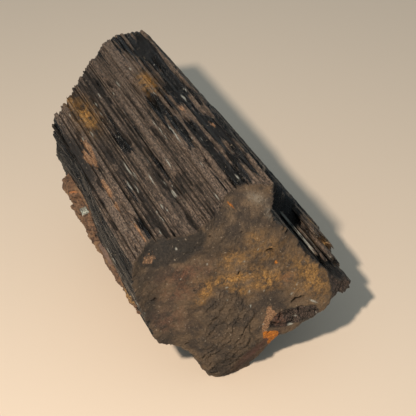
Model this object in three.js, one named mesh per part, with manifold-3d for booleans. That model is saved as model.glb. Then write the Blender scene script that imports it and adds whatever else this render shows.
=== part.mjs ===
// Black tourmaline crystal: a stubby striated prism lying on one flat side face, with the
// rusty crust of its mother rock still on one flank.
// Units are millimetres, +Z is up, +X runs along the crystal towards its broken end.
import * as THREE from 'three';
import { mergeVertices } from 'three/addons/utils/BufferGeometryUtils.js';
import Module from 'manifold-3d';

const wasm = await Module();
wasm.setup();

// ---- driving dimensions -------------------------------------------------------------

// The prism's ends before they are broken off.
const CRYSTAL_BACK = -62;
const CRYSTAL_FRONT = 14;

// The prism's sides, in order round the cross-section from the one it rests on. Heading is in
// degrees from +Y towards +Z, width is the side's own, and the last side closes the loop.
const FIRST_CORNER = { y: -1, z: 0 };
const SIDES = [
  { heading: 0, width: 16, groove: 0 },
  { heading: 45, width: 10, groove: 0.35 },
  { heading: 50, width: 8.5, groove: 0.5 },
  { heading: 84, width: 4.5, groove: 0 },
  { heading: 92, width: 4, groove: 0 },
  { heading: 124, width: 29.5, groove: 0.6 },
  { heading: 190, width: 4.5, groove: 0 },
  { heading: 197, width: 23, groove: 0.6 },
  { heading: 266, width: 6, groove: 0 },
  { heading: 283, width: 16, groove: 0.45 },
  { heading: 317, width: 9, groove: 0 },
];
const LAST_GROOVE = 0.3;       // groove of the side that closes the loop
const RIGHT_FLANK = 5;         // the wide sloping side, as a place in the list
const LEFT_FLANK = 8;          // first of the sides that the crust grew on
const STRIA_PITCH = 2.2;       // one modelled groove; fine lines between them are left out
const GROOVE_PLACE = { least: 0.35, spread: 0.4 };   // across its own pitch
const GROOVE_DEPTH = { least: 0.4, spread: 0.6 };    // of the side's groove

// Cutters reach past the prism's raw ends, and stand out of its sides.
const CUTTER_DEPTH = 30;
const CUTTER_FRONT = CRYSTAL_FRONT + 2;
const CLEAR = 4;

// Stepped back end: it reaches furthest along one line and draws in to both flanks, cut in
// strips across Y. Every strip is broken again in height.
const BACK_REACH = -58.5;
const BACK_REACH_Y = 6;
const BACK_HALF = 22;          // from that line to either flank
const DRAWN_IN_LEFT = 17.5;
const DRAWN_IN_RIGHT = 4.5;
const STRIP_WIDTH = 3;
const STRIP_COUNT = 16;
const STRIP_FIRST = -18;       // left edge of the first strip
const BACK_LAYERS = [
  { from: 31, to: 60, back: 0 },
  { from: 16, to: 31, back: 2.4 },
  { from: -5, to: 16, back: -0.6 },
];
const STEP_SCATTER = 1.6;      // uneven part of each step
const CUT_OVERLAP = 0.15;

// Front fracture: distance along X over the section is a sum of swellings and hollows.
const SWELLINGS = [
  { y: 21, z: 17, ry: 10, rz: 12, height: 6 },
  { y: 8, z: 22, ry: 12, rz: 15, height: 3.4 },
  { y: 4, z: 14, ry: 6.5, rz: 9, height: 1.8 },
  { y: 5.5, z: 45, ry: 5, rz: 5, height: -2.8 },
  { y: -10.5, z: 42, ry: 3.6, rz: 5, height: -2.8 },
  { y: -12, z: 27, ry: 5, rz: 8, height: -1.4 },
  { y: 17, z: 17, ry: 3.2, rz: 2.2, height: -3.2 },
];
const FRACTURE_ROUGH = 0.35;
const ROUGH_PER_MM = 7;
const FRACTURE_CELLS = 22;
const FRACTURE_FIELD = { y: 7, z: 24, width: 60, height: 64 };   // covers the whole section

// The right flank's outer layer is broken off short of the fracture, with an open gap behind
// what is left of it. Down is from the flank's top edge, deep is into the crystal, and splay
// leans the break's lower edge outwards.
const LAYER = { from: 1, to: 27, deep: 2, splay: 1, end: -3 };
const GAP = { from: 4, to: 21, shallow: 0.5, deep: 2, end: -12 };

// Under its front right corner the crystal is broken away in a wedge and overhangs.
const UNDERCUT = [[5.5, -1], [12, 12], [21, 20], [34, 13], [34, -1]];
const UNDERCUT_BACK = -7;

// Crust: a lumpy wedge on the left flank, one gap away from the crystal.
const CRUST_GAP = 0.3;
const CRUST = { back: -44, front: -7, low: 8, highAtBack: 30, highAtFront: 19, thick: 1.4, inner: -3 };
const CRUST_CELLS = { along: 22, up: 9 };
const CRUST_LUMP = 0.8;
const LUMPS_ALONG = 60;
const CRUST_BLUNT = 0.4;       // lower keeps its full thickness nearer to its edge
const CRUST_RIM = 1;           // how far its thin edge stands out from the flank

const WELD = 1e-4;             // vertices closer than this are one

// ---- helpers ------------------------------------------------------------------------

// Repeatable scatter between 0 and 1 for a pair of numbers.
function scatter(a, b = 0) {
  const s = Math.sin(a * 12.9898 + b * 78.233) * 43758.5453;
  return s - Math.floor(s);
}

function toSolid(geometry) {
  const bare = new THREE.BufferGeometry();
  const source = geometry.index ? geometry.toNonIndexed() : geometry;
  bare.setAttribute('position', source.getAttribute('position').clone());
  const merged = mergeVertices(bare, WELD);
  const mesh = new wasm.Mesh({
    numProp: 3,
    vertProperties: new Float32Array(merged.attributes.position.array),
    triVerts: new Uint32Array(merged.index.array),
  });
  return new wasm.Manifold(mesh);
}

function toGeometry(solid) {
  const mesh = solid.getMesh();
  const geometry = new THREE.BufferGeometry();
  geometry.setAttribute('position', new THREE.BufferAttribute(mesh.vertProperties, 3));
  geometry.setIndex(new THREE.BufferAttribute(mesh.triVerts, 1));
  geometry.computeVertexNormals();
  return geometry;
}

// Extrudes an outline of [y, z] points along X.
function bar(outline, back, front) {
  const shape = new THREE.Shape(outline.map(([y, z]) => new THREE.Vector2(y, z)));
  const geometry = new THREE.ExtrudeGeometry(shape, { depth: front - back, bevelEnabled: false });
  const turn = new THREE.Matrix4().makeBasis(
    new THREE.Vector3(0, 1, 0),
    new THREE.Vector3(0, 0, 1),
    new THREE.Vector3(1, 0, 0),
  );
  geometry.applyMatrix4(turn);
  geometry.translate(back, 0, 0);
  return toSolid(geometry);
}

// Corners of the cross-section, worked out side by side.
function sectionCorners() {
  const corners = [];
  let { y, z } = FIRST_CORNER;
  for (const side of SIDES) {
    corners.push({ y, z, groove: side.groove });
    const heading = THREE.MathUtils.degToRad(side.heading);
    y += side.width * Math.cos(heading);
    z += side.width * Math.sin(heading);
  }
  corners.push({ y, z, groove: LAST_GROOVE });
  return corners;
}

const SECTION = sectionCorners();

// A point [y, z] on the right flank, some way down from its top edge and some way in.
function onRightFlank(down, deep) {
  const top = SECTION[RIGHT_FLANK + 1];
  const low = SECTION[RIGHT_FLANK];
  const length = Math.hypot(low.y - top.y, low.z - top.z);
  const alongY = (low.y - top.y) / length;
  const alongZ = (low.z - top.z) / length;
  return [top.y + alongY * down + alongZ * deep, top.z + alongZ * down - alongY * deep];
}

// Outline with V grooves along every grooved side; grow moves it outwards.
function groovedOutline(corners, grow = 0) {
  const points = [];
  corners.forEach((corner, side) => {
    const next = corners[(side + 1) % corners.length];
    const dy = next.y - corner.y;
    const dz = next.z - corner.z;
    const length = Math.hypot(dy, dz);
    const outY = dz / length;
    const outZ = -dy / length;
    const ridges = corner.groove > 0 ? Math.max(2, Math.round(length / STRIA_PITCH)) : 1;
    for (let i = 0; i < ridges; i += 1) {
      const crest = i / ridges;
      points.push([corner.y + dy * crest + outY * grow, corner.z + dz * crest + outZ * grow]);
      if (corner.groove > 0) {
        const place = GROOVE_PLACE.least + GROOVE_PLACE.spread * scatter(side, i);
        const at = (i + place) / ridges;
        const share = GROOVE_DEPTH.least + GROOVE_DEPTH.spread * scatter(i, side);
        const deep = corner.groove * share - grow;
        points.push([corner.y + dy * at - outY * deep, corner.z + dz * at - outZ * deep]);
      }
    }
  });
  return points;
}

function fractureAt(y, z) {
  let x = FRACTURE_ROUGH * (scatter(Math.round(y * ROUGH_PER_MM), Math.round(z * ROUGH_PER_MM)) - 0.5);
  for (const s of SWELLINGS) {
    const far = ((y - s.y) / s.ry) ** 2 + ((z - s.z) / s.rz) ** 2;
    x += s.height * Math.exp(-far);
  }
  return x;
}

// ---- crystal ------------------------------------------------------------------------

// How far back the end reaches at a place across the crystal.
function backAt(y) {
  const left = Math.max(0, BACK_REACH_Y - y) / BACK_HALF;
  const right = Math.max(0, y - BACK_REACH_Y) / BACK_HALF;
  return BACK_REACH + DRAWN_IN_LEFT * left ** 1.5 + DRAWN_IN_RIGHT * Math.sqrt(right);
}

function backCutters() {
  const cutters = [];
  for (let i = 0; i < STRIP_COUNT; i += 1) {
    const middle = STRIP_FIRST + (i + 0.5) * STRIP_WIDTH;
    BACK_LAYERS.forEach((layer, j) => {
      const uneven = STEP_SCATTER * (j === 0 ? 0 : scatter(i, j + 3) - 0.5);
      const end = backAt(middle) + layer.back + uneven;
      const height = layer.to - layer.from + CUT_OVERLAP;
      const box = new THREE.BoxGeometry(CUTTER_DEPTH, STRIP_WIDTH + CUT_OVERLAP, height);
      box.translate(end - CUTTER_DEPTH / 2, middle, (layer.from + layer.to) / 2);
      cutters.push(toSolid(box));
    });
  }
  return cutters;
}

// A block whose near face is the fracture.
function fractureCutter() {
  const { y: middleY, z: middleZ, width, height } = FRACTURE_FIELD;
  const cells = FRACTURE_CELLS;
  const box = new THREE.BoxGeometry(CUTTER_DEPTH, width, height, 1, cells, cells);
  box.translate(0, middleY, middleZ);
  const position = box.getAttribute('position');
  for (let i = 0; i < position.count; i += 1) {
    const y = position.getY(i);
    const z = position.getZ(i);
    position.setX(i, position.getX(i) < 0 ? fractureAt(y, z) : CUTTER_DEPTH);
  }
  return toSolid(box);
}

function flankCutters() {
  const layer = [
    onRightFlank(-CLEAR, -CLEAR), onRightFlank(LAYER.to + LAYER.splay, -CLEAR),
    onRightFlank(LAYER.to, LAYER.deep), onRightFlank(LAYER.from, LAYER.deep / 2),
  ];
  const gap = [
    onRightFlank(GAP.from, GAP.shallow), onRightFlank(GAP.to, GAP.shallow),
    onRightFlank(GAP.to, GAP.deep), onRightFlank(GAP.from, GAP.deep),
  ];
  return [bar(layer, LAYER.end, CUTTER_FRONT), bar(gap, GAP.end, CUTTER_FRONT)];
}

function buildCrystal() {
  const wedge = bar(UNDERCUT, UNDERCUT_BACK, CUTTER_FRONT);
  let solid = bar(groovedOutline(SECTION), CRYSTAL_BACK, CRYSTAL_FRONT);
  for (const cutter of [...backCutters(), fractureCutter(), ...flankCutters(), wedge]) {
    solid = solid.subtract(cutter);
  }
  return solid;
}

// ---- crust --------------------------------------------------------------------------

// The left flank's y at a height, read from the section's last corners.
function flankAt(z) {
  const corners = [...SECTION.slice(LEFT_FLANK), SECTION[0]];
  const upper = corners.findIndex((corner, i) => i + 1 < corners.length && z > corners[i + 1].z);
  const from = corners[upper];
  const to = corners[upper + 1];
  return from.y + ((to.y - from.y) * (from.z - z)) / (from.z - to.z);
}

function buildCrust() {
  const length = CRUST.front - CRUST.back;
  const box = new THREE.BoxGeometry(1, 1, 1, CRUST_CELLS.along, 1, CRUST_CELLS.up);
  const position = box.getAttribute('position');
  for (let i = 0; i < position.count; i += 1) {
    const along = position.getX(i) + 0.5;
    const up = position.getZ(i) + 0.5;
    const high = THREE.MathUtils.lerp(CRUST.highAtBack, CRUST.highAtFront, along);
    const z = THREE.MathUtils.lerp(CRUST.low, high, up);
    const taper = (Math.sin(Math.PI * along) * Math.sin(Math.PI * up)) ** CRUST_BLUNT;
    const spot = scatter(Math.round(along * LUMPS_ALONG), Math.round(up * LUMPS_ALONG));
    const lump = CRUST_LUMP * (spot - 0.5);
    const outer = flankAt(z) - CRUST_RIM - (CRUST.thick + lump) * taper;
    position.setX(i, CRUST.back + length * along);
    position.setY(i, position.getY(i) < 0 ? outer : CRUST.inner);
    position.setZ(i, z);
  }
  const grown = bar(groovedOutline(SECTION, CRUST_GAP), CRYSTAL_BACK - CLEAR, CRYSTAL_FRONT + CLEAR);
  return toSolid(box).subtract(grown);
}

// ---- scene graph --------------------------------------------------------------------

const crystal = new THREE.Mesh(
  toGeometry(buildCrystal()),
  new THREE.MeshStandardMaterial({ color: 0x1c1917, roughness: 0.38, metalness: 0 }),
);
crystal.name = 'tourmaline_crystal';

const crust = new THREE.Mesh(
  toGeometry(buildCrust()),
  new THREE.MeshStandardMaterial({ color: 0x6a4c36, roughness: 0.9, metalness: 0 }),
);
crust.name = 'matrix_crust';

const group = new THREE.Group();
group.name = 'tourmaline';
group.add(crystal, crust);

// The origin is the middle of the bounding box at the level it rests on.
const box = new THREE.Box3().setFromObject(group);
const middle = box.getCenter(new THREE.Vector3());
crystal.position.set(-middle.x, -middle.y, -box.min.z);
crust.position.copy(crystal.position);

export default group;
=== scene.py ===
# %% [markdown]
# # A black tourmaline crystal on a pale table
# The object is a loose piece of schorl, the black iron tourmaline: a stubby prism about 65 mm
# long that grew as a bundle of parallel ribs. One end broke off in steps, the other in one
# rough oblique fracture stained brown and orange by iron oxides, and a crust of the mother
# rock still clings to one flank. Each cell below makes one part of it.

# %% Setup
import math

import bpy
import numpy as np
from mathutils.geometry import delaunay_2d_cdt
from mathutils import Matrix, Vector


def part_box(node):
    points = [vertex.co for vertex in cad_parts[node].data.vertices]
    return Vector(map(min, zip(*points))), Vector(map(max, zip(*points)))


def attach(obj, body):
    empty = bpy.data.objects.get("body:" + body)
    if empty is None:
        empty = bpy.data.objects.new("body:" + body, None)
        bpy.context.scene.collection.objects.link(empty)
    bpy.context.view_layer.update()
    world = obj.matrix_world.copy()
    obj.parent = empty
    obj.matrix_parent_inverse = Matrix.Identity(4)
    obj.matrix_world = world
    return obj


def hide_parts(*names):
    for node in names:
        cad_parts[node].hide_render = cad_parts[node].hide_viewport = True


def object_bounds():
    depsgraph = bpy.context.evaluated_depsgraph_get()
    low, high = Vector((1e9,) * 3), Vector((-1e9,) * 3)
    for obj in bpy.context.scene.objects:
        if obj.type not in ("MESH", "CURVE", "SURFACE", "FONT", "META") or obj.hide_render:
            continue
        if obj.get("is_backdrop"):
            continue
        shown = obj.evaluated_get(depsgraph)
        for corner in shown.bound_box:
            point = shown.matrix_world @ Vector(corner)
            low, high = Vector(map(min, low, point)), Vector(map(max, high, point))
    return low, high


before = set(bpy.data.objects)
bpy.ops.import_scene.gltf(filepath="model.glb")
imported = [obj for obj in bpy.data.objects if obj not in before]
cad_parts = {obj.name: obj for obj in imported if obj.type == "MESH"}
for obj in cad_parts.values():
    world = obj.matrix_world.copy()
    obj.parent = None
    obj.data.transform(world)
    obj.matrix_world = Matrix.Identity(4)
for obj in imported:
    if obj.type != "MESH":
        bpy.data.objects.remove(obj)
cad_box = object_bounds()
print("CAD box", cad_box)

# %% [markdown]
# ## Units and helpers
# The crystal is described in its own millimetres, from a point where the fracture meets the
# table. X runs along the ribs and Z is up. `ORIGIN`, worked out below, moves that point to
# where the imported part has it. Smooth noise, added up in octaves, gives all natural unevenness.

# %% Units and helpers
MM = 0.001


def to_metres(points):
    return (np.asarray(points, dtype=float) + ORIGIN) * MM


def smoothstep(low, high, value):
    t = np.clip((value - low) / (high - low), 0.0, 1.0)
    return t * t * (3.0 - 2.0 * t)


def lattice(ix, iy, iz, seed):
    h = (ix * 374761393 + iy * 668265263 + iz * 2147483647 + seed * 974634777) & 0xFFFFFFFF
    h = ((h ^ (h >> 13)) * 1274126177) & 0xFFFFFFFF
    h = ((h ^ (h >> 16)) * 2246822519) & 0xFFFFFFFF
    return ((h ^ (h >> 15)) & 0xFFFFFF) / float(0xFFFFFF) * 2.0 - 1.0


def value_noise(x, y, z, seed=0):
    """Smooth noise from -1 to 1 with one feature per unit."""
    x, y, z = np.broadcast_arrays(x, y, z)
    ix, iy, iz = (np.floor(v).astype(np.int64) for v in (x, y, z))
    fx, fy, fz = x - ix, y - iy, z - iz
    sx, sy, sz = (f * f * (3.0 - 2.0 * f) for f in (fx, fy, fz))
    total = 0.0
    for dx, wx in ((0, 1 - sx), (1, sx)):
        for dy, wy in ((0, 1 - sy), (1, sy)):
            for dz, wz in ((0, 1 - sz), (1, sz)):
                total = total + wx * wy * wz * lattice(ix + dx, iy + dy, iz + dz, seed)
    return total


def fractal(x, y, z, octaves=4, seed=0, gain=0.5):
    total = 0.0
    size = 1.0
    for octave in range(octaves):
        k = 2.03 ** octave
        total = total + size * value_noise(x * k, y * k, z * k, seed + 17 * octave)
        size *= gain
    return total


def mesh_object(name, vertices, faces, attributes=None):
    mesh = bpy.data.meshes.new(name)
    mesh.from_pydata(to_metres(vertices).tolist(), [], [list(map(int, f)) for f in faces])
    mesh.validate()
    for key, values in (attributes or {}).items():
        layer = mesh.attributes.new(key, "FLOAT", "POINT")
        layer.data.foreach_set("value", np.asarray(values, dtype=np.float32))
    mesh.update()
    obj = bpy.data.objects.new(name, mesh)
    bpy.context.scene.collection.objects.link(obj)
    return obj


def linear(code):
    """sRGB hex colour as linear RGBA."""
    parts = [int(code[i:i + 2], 16) / 255.0 for i in (1, 3, 5)]
    return [p / 12.92 if p <= 0.04045 else ((p + 0.055) / 1.055) ** 2.4 for p in parts] + [1.0]


def add(tree, kind, inputs=(), **settings):
    """Adds a node. Its inputs come by name, or as a list in the node's own order."""
    node = tree.nodes.new("ShaderNode" + kind)
    for key, value in settings.items():
        setattr(node, key, value)
    pairs = inputs.items() if isinstance(inputs, dict) else enumerate(inputs)
    for key, value in pairs:
        socket = node.inputs[key]
        source = value.outputs[0] if isinstance(value, bpy.types.Node) else value
        if isinstance(source, bpy.types.NodeSocket):
            tree.links.new(source, socket)
        else:
            socket.default_value = source
    return node


print("noise at three places", value_noise(np.array([0.2, 1.4, 2.7]), 0.5, 0.5).round(3))

# %% [markdown]
# ## The prism's cross-section
# A tourmaline prism has a few broad sides rounded off by narrow ones, which meet at angles.
# So the section is given as a crystal is measured: each side by its heading and its width,
# in order round it from the side on the table, which keeps the crystal's own angles better
# than a drawn outline would. The last side closes the loop.

# %% Cross-section
FIRST_CORNER = (-1.0, 0.0)
SIDES = [  # heading in degrees from +Y towards +Z, width, groove depth, sample spacing
    (0, 16.0, 0.12, 0.50),
    (45, 10.0, 0.35, 0.42),
    (50, 8.5, 0.45, 0.36),
    (84, 4.5, 0.40, 0.30),
    (92, 4.0, 0.40, 0.26),
    (124, 29.5, 0.55, 0.24),
    (190, 4.5, 0.45, 0.15),
    (197, 23.0, 0.60, 0.14),
    (266, 6.0, 0.50, 0.20),
    (283, 16.0, 0.45, 0.22),
    (317, 9.0, 0.35, 0.26),
]
CLOSING_SIDE = (0.30, 0.34)
RIGHT_FLANK, LEFT_FLANK = 5, 8


def section_corners():
    corners = [FIRST_CORNER]
    for heading, width, _, _ in SIDES:
        y, z = corners[-1]
        angle = math.radians(heading)
        corners.append((y + width * math.cos(angle), z + width * math.sin(angle)))
    return corners


CORNERS = section_corners()


def sample_section():
    finish = [side[2:] for side in SIDES] + [CLOSING_SIDE]
    rows = []
    for i, ((y, z), (groove, spacing)) in enumerate(zip(CORNERS, finish)):
        next_y, next_z = CORNERS[(i + 1) % len(CORNERS)]
        length = math.hypot(next_y - y, next_z - z)
        count = max(2, round(length / spacing))
        for k in range(count):
            t = k / count
            rows.append((y + (next_y - y) * t, z + (next_z - z) * t, groove, i + t))
    return np.array(rows)


def blur_loop(values, times):
    for _ in range(times):
        values = 0.25 * np.roll(values, 1, 0) + 0.5 * values + 0.25 * np.roll(values, -1, 0)
    return values


section = sample_section()
outline = blur_loop(section[:, :2], 3)
groove_depth = blur_loop(section[:, 2], 12)
side_at = section[:, 3]
tangent = blur_loop(np.roll(outline, -1, 0) - np.roll(outline, 1, 0), 8)
tangent /= np.linalg.norm(tangent, axis=1)[:, None]
outward = np.stack([tangent[:, 1], -tangent[:, 0]], 1)
step = np.linalg.norm(np.roll(outline, -1, 0) - outline, axis=1)
along_outline = np.concatenate([[0.0], np.cumsum(step)[:-1]])
girth = float(step.sum())
print("outline points", len(outline), "girth mm", round(girth, 1))

# %% [markdown]
# ## Where the crystal stands
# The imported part's origin is the middle of its box, at table level. Two edges of the part that
# are also known here give the way there: the crust's back end along X, and the prism's widest
# corner along Y.

# %% Origin
CRUST_X = (-44.0, -5.5)
crust_low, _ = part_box("matrix_crust")
_, crystal_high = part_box("tourmaline_crystal")
widest_y = max(y for y, _ in CORNERS)
ORIGIN = np.array([crust_low[0] / MM - CRUST_X[0], crystal_high[1] / MM - widest_y, 0.0])
print("origin in the crystal's millimetres", ORIGIN.round(3))

# %% [markdown]
# ## Camera
# The camera looks down at 42 degrees over the broken end. Its lens is about twice as long as
# its sensor is wide, and it stands close enough that the far end of the ribs draws together.

# %% Camera
CAMERA_AT = np.array([89.4, -46.1, 136.3])
CAMERA_TILT, CAMERA_TURN = 48.0, 63.5
camera_data = bpy.data.cameras.new("camera")
camera_data.sensor_width = 36.0
camera_data.lens = 71.8
camera_data.clip_start = 0.01
camera = bpy.data.objects.new("camera", camera_data)
camera.location = to_metres(CAMERA_AT)
camera.rotation_euler = (math.radians(CAMERA_TILT), 0.0, math.radians(CAMERA_TURN))
bpy.context.scene.collection.objects.link(camera)
bpy.context.scene.camera = camera
print("camera to fracture mm", round(float(np.linalg.norm(CAMERA_AT))))

# %% [markdown]
# ## Table and light
# A pale warm table top, one small warm lamp high on the left that throws the crisp shadow,
# and an even cool fill from all round that keeps the shadow open. The lamp's light falls off
# with distance and not with its square, so that the table is lit more evenly.

# %% Table and light
TABLE_SIZE = 3.0
bpy.ops.mesh.primitive_plane_add(size=TABLE_SIZE, location=(0.0, 0.0, 0.0))
table = bpy.context.object
table.name = "table"
table_material = bpy.data.materials.new("pale painted board, matt")
table_material.use_nodes = True
table_shader = table_material.node_tree.nodes["Principled BSDF"]
table_shader.inputs["Base Color"].default_value = linear("#E2D3C0")
table_shader.inputs["Roughness"].default_value = 0.85
table.data.materials.append(table_material)
table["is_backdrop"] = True

LAMP_AT = np.array([58.2, -72.8, 154.7])
lamp_data = bpy.data.lights.new("lamp", "POINT")
lamp_data.energy = 7.5
lamp_data.shadow_soft_size = 0.004
lamp_data.color = linear("#FFEDDA")[:3]
lamp_data.use_nodes = True
lamp_tree = lamp_data.node_tree
falloff = add(lamp_tree, "LightFalloff", {"Strength": 1.0})
lamp_tree.links.new(falloff.outputs["Linear"], lamp_tree.nodes["Emission"].inputs["Strength"])
lamp = bpy.data.objects.new("lamp", lamp_data)
lamp.location = to_metres(LAMP_AT)
bpy.context.scene.collection.objects.link(lamp)

world = bpy.data.worlds.new("room")
world.use_nodes = True
world.node_tree.nodes["Background"].inputs["Color"].default_value = linear("#8E989D")
world.node_tree.nodes["Background"].inputs["Strength"].default_value = 1.0
bpy.context.scene.world = world
bpy.context.scene.view_settings.view_transform = "Standard"
bpy.context.scene.view_settings.look = "None"
print("lamp to fracture mm", round(float(np.linalg.norm(LAMP_AT))))

# %% [markdown]
# ## Ribs
# The sides are a bundle of ribs, each 0.4 to 1.2 mm wide, some standing higher than others,
# with shallow V grooves between them. A rib is seldom whole: it chips off and drops a little,
# then rises again, so its height is a stepped line along X. A bump pattern would be cheaper,
# but it would leave the crystal's edges smooth, so the ribs are real geometry.

# %% Ribs
rng = np.random.default_rng(20)
X_LOW, X_HIGH, X_CELL = -64.0, 14.0, 0.25
x_cells = int((X_HIGH - X_LOW) / X_CELL) + 1


def rib_edges(narrow, wide):
    edges = [0.0]
    while edges[-1] < girth:
        edges.append(edges[-1] + narrow + (wide - narrow) * rng.random() ** 1.6)
    return np.array(edges) * girth / edges[-1]


def stepped_lines(count, size, shortest, longest):
    """One stepped height line along X for each rib."""
    lines = np.zeros((count, x_cells))
    for i in range(count):
        at = 0
        while at < x_cells:
            run = int(rng.uniform(shortest, longest) / X_CELL)
            lines[i, at:at + run] = rng.normal(0.0, size)
            at += run
    return lines


rib_edge = rib_edges(0.38, 1.2)
rib_line = stepped_lines(len(rib_edge), 0.11, 3.0, 22.0)
rib_line = rib_line + rng.normal(0.0, 0.09, (len(rib_edge), 1))
bundle_edge = rib_edges(2.0, 5.5)
bundle_line = stepped_lines(len(bundle_edge), 0.10, 10.0, 50.0)
bundle_line = bundle_line + rng.normal(0.0, 0.15, (len(bundle_edge), 1))
stria_edge = rib_edges(0.15, 0.36)
stria_line = rng.normal(0.0, 1.0, (len(stria_edge), 1))
stria_line = stria_line + stepped_lines(len(stria_edge), 0.7, 2.0, 9.0)
print("ribs", len(rib_edge), "bundles", len(bundle_edge), "striae", len(stria_edge))


def layer_height(edges, lines, s, x, sharp):
    index = np.clip(np.searchsorted(edges, s, side="right") - 1, 0, len(edges) - 2)
    inside = (s - edges[index]) / (edges[index + 1] - edges[index])
    profile = 1.0 - np.abs(2.0 * inside - 1.0) ** sharp
    cell = np.clip((x - X_LOW) / X_CELL, 0, x_cells - 1.001)
    low = cell.astype(int)
    mix = cell - low
    level = lines[index, low] * (1 - mix) + lines[index, low + 1] * mix
    return level, profile


def rib_height(s, x, depth):
    s = np.mod(s, girth)
    bundle, bundle_profile = layer_height(bundle_edge, bundle_line, s, x, 4.0)
    rib, rib_profile = layer_height(rib_edge, rib_line, s, x, 2.0)
    stria, stria_profile = layer_height(stria_edge, stria_line, s, x, 2.0)
    height = bundle + rib + 0.30 * rib_profile + 0.14 * bundle_profile
    height = height + 0.06 * stria * stria_profile
    return np.clip(depth / 0.5 * (height - 0.52), -1.3, 0.08)


# %% [markdown]
# ## The fracture at the near end
# Tourmaline breaks without cleavage, in an uneven face with swellings and hollows. The face
# is x as a function of its place (y, z) on the section: a few broad swellings, two places
# where the upper edge bends back, a rough lobe standing forward low on the left, a rough
# pocket right of it, a slot and pits, then finer grain. Sculpting could give the same, but a
# sum keeps every feature a value that can be changed.

# %% Fracture
SWELLINGS = [  # y, z, radius y, radius z, height
    (21, 17, 10, 12, 6), (8, 22, 12, 15, 3.4), (4, 14, 6.5, 9, 1.8), (-12, 27, 5, 8, -1.4),
    (5, 45.5, 5, 4, -4), (-10, 41.5, 3.5, 4.5, -3.5), (-1.5, 0, 2, 3, -1.5), (-9, 13, 4, 4, -1),
]
LOBE = (0.5, 15, 13.5, 5, 90)  # y, z, length, width, turn in degrees
POCKET = (13, 18, 4.8, 2.6, 8)
SLOT = (14.5, 22, 1.3, 0.4, 10, 3.0)  # and its depth
NOTCHES = [
    SLOT, (10, 33.5, 1, 0.3, 20, 1.4), (13, 35.5, 0.5, 0.4, 30, 0.8), (-11.5, 27.5, 0.6, 0.3, 10, 1.4),
]
CHUNK_FROM = 21                # beyond this y the lower right corner is freshly broken


def inside_polygon(y, z, corners):
    """Signed distance to a polygon, positive inside."""
    inside = np.zeros(y.shape, dtype=bool)
    nearest = np.full(y.shape, 1e9)
    for (y1, z1), (y2, z2) in zip(corners, corners[1:] + corners[:1]):
        crosses = (z1 > z) != (z2 > z)
        inside ^= crosses & (y < (y2 - y1) * (z - z1) / ((z2 - z1) or 1e-9) + y1)
        t = ((y - y1) * (y2 - y1) + (z - z1) * (z2 - z1)) / ((y2 - y1) ** 2 + (z2 - z1) ** 2)
        t = np.clip(t, 0.0, 1.0)
        nearest = np.minimum(nearest, np.hypot(y - y1 - t * (y2 - y1), z - z1 - t * (z2 - z1)))
    return np.where(inside, nearest, -nearest)


def within(u, v, place):
    """Rough distance inside an ellipse, negative outside it."""
    centre_u, centre_v, length, width, turn = place
    c, s = math.cos(math.radians(turn)), math.sin(math.radians(turn))
    du, dv = u - centre_u, v - centre_v
    return (1.0 - np.hypot((c * du + s * dv) / length, (c * dv - s * du) / width)) * width


def spot(u, v, centre_u, centre_v, length, width, turn=0.0):
    """Soft elliptical spot, 1 in its middle."""
    c, s = math.cos(math.radians(turn)), math.sin(math.radians(turn))
    du, dv = u - centre_u, v - centre_v
    return np.exp(-((c * du + s * dv) / length) ** 2 - ((c * dv - s * du) / width) ** 2)


def scatter(source, count, ranges):
    """Rows of random values, each inside its range. A single number is kept as it is."""
    rows = []
    for _ in range(count):
        rows.append([source.uniform(*r) if isinstance(r, tuple) else r for r in ranges])
    return rows


PIT_RANGES = [(-12, 22), (8, 40), (0.15, 0.4), (0.15, 0.3), (0, 90), (0.3, 0.8)]
PITS = NOTCHES + scatter(np.random.default_rng(8), 16, PIT_RANGES)


def broad_fracture(y, z):
    x = 0.0
    for cy, cz, ry, rz, height in SWELLINGS:
        x = x + height * np.exp(-((y - cy) / ry) ** 2 - ((z - cz) / rz) ** 2)
    return x


def wandering(y, z):
    """Moves places on the face a little, so that its shapes get natural edges."""
    wander_y = y + 0.9 * value_noise(y * 0.45, z * 0.45, 0.0, 5)
    wander_z = z + 0.9 * value_noise(y * 0.45, z * 0.45, 9.0, 6)
    return wander_y, wander_z


def fracture_x(y, z):
    wander_y, wander_z = wandering(y, z)
    x = broad_fracture(y, z)
    lobe = smoothstep(-0.15, 0.35, within(wander_y, wander_z, LOBE))
    across = wander_y * 0.85 - wander_z * 0.53
    along = y * 0.53 + z * 0.85
    ridges = value_noise(across * 2.1, along * 0.22, 3.0, 8)
    ridges = ridges + 0.6 * value_noise(across * 4.3, along * 0.5, 3.0, 19)
    x = x + lobe * (0.55 + 0.28 * ridges + 0.18 * value_noise(y * 3.3, z * 3.3, 1.0, 9))
    x = x + 0.4 * value_noise(y * 0.22, z * 0.22, 1.5, 11)
    x = x + 0.2 * fractal(y * 0.7, z * 0.7, 2.5, 3, 12)
    x = x + 0.11 * fractal(y * 2.6, z * 2.6, 4.5, 2, 14)
    pocket = smoothstep(-0.1, 0.5, within(wander_y, wander_z, POCKET))
    x = x - pocket * (0.45 + 0.75 * fractal(y * 1.3, z * 1.3, 0.5, 3, 15))
    broken = smoothstep(CHUNK_FROM - 0.5, CHUNK_FROM + 1.2, wander_y) * smoothstep(28.0, 24.0, z)
    x = x - broken * (0.8 + 0.5 * fractal(y * 0.9, z * 0.9, 0.5, 3, 16))
    for cy, cz, length, width, turn, depth in PITS:
        x = x - depth * smoothstep(0.2, 0.75, spot(wander_y, wander_z, cy, cz, length, width, turn))
    return x


print("pits and notches", len(PITS))


# %% [markdown]
# ## The stepped far end
# There the ribs broke off one by one. The end reaches furthest back along one line and draws
# in to both flanks, and each column of the bundle stops at its own distance, so it is a flight
# of small ragged steps. Cutting rib by rib would be slow, so a point of the end takes the step
# of the column nearest to it.

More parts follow.
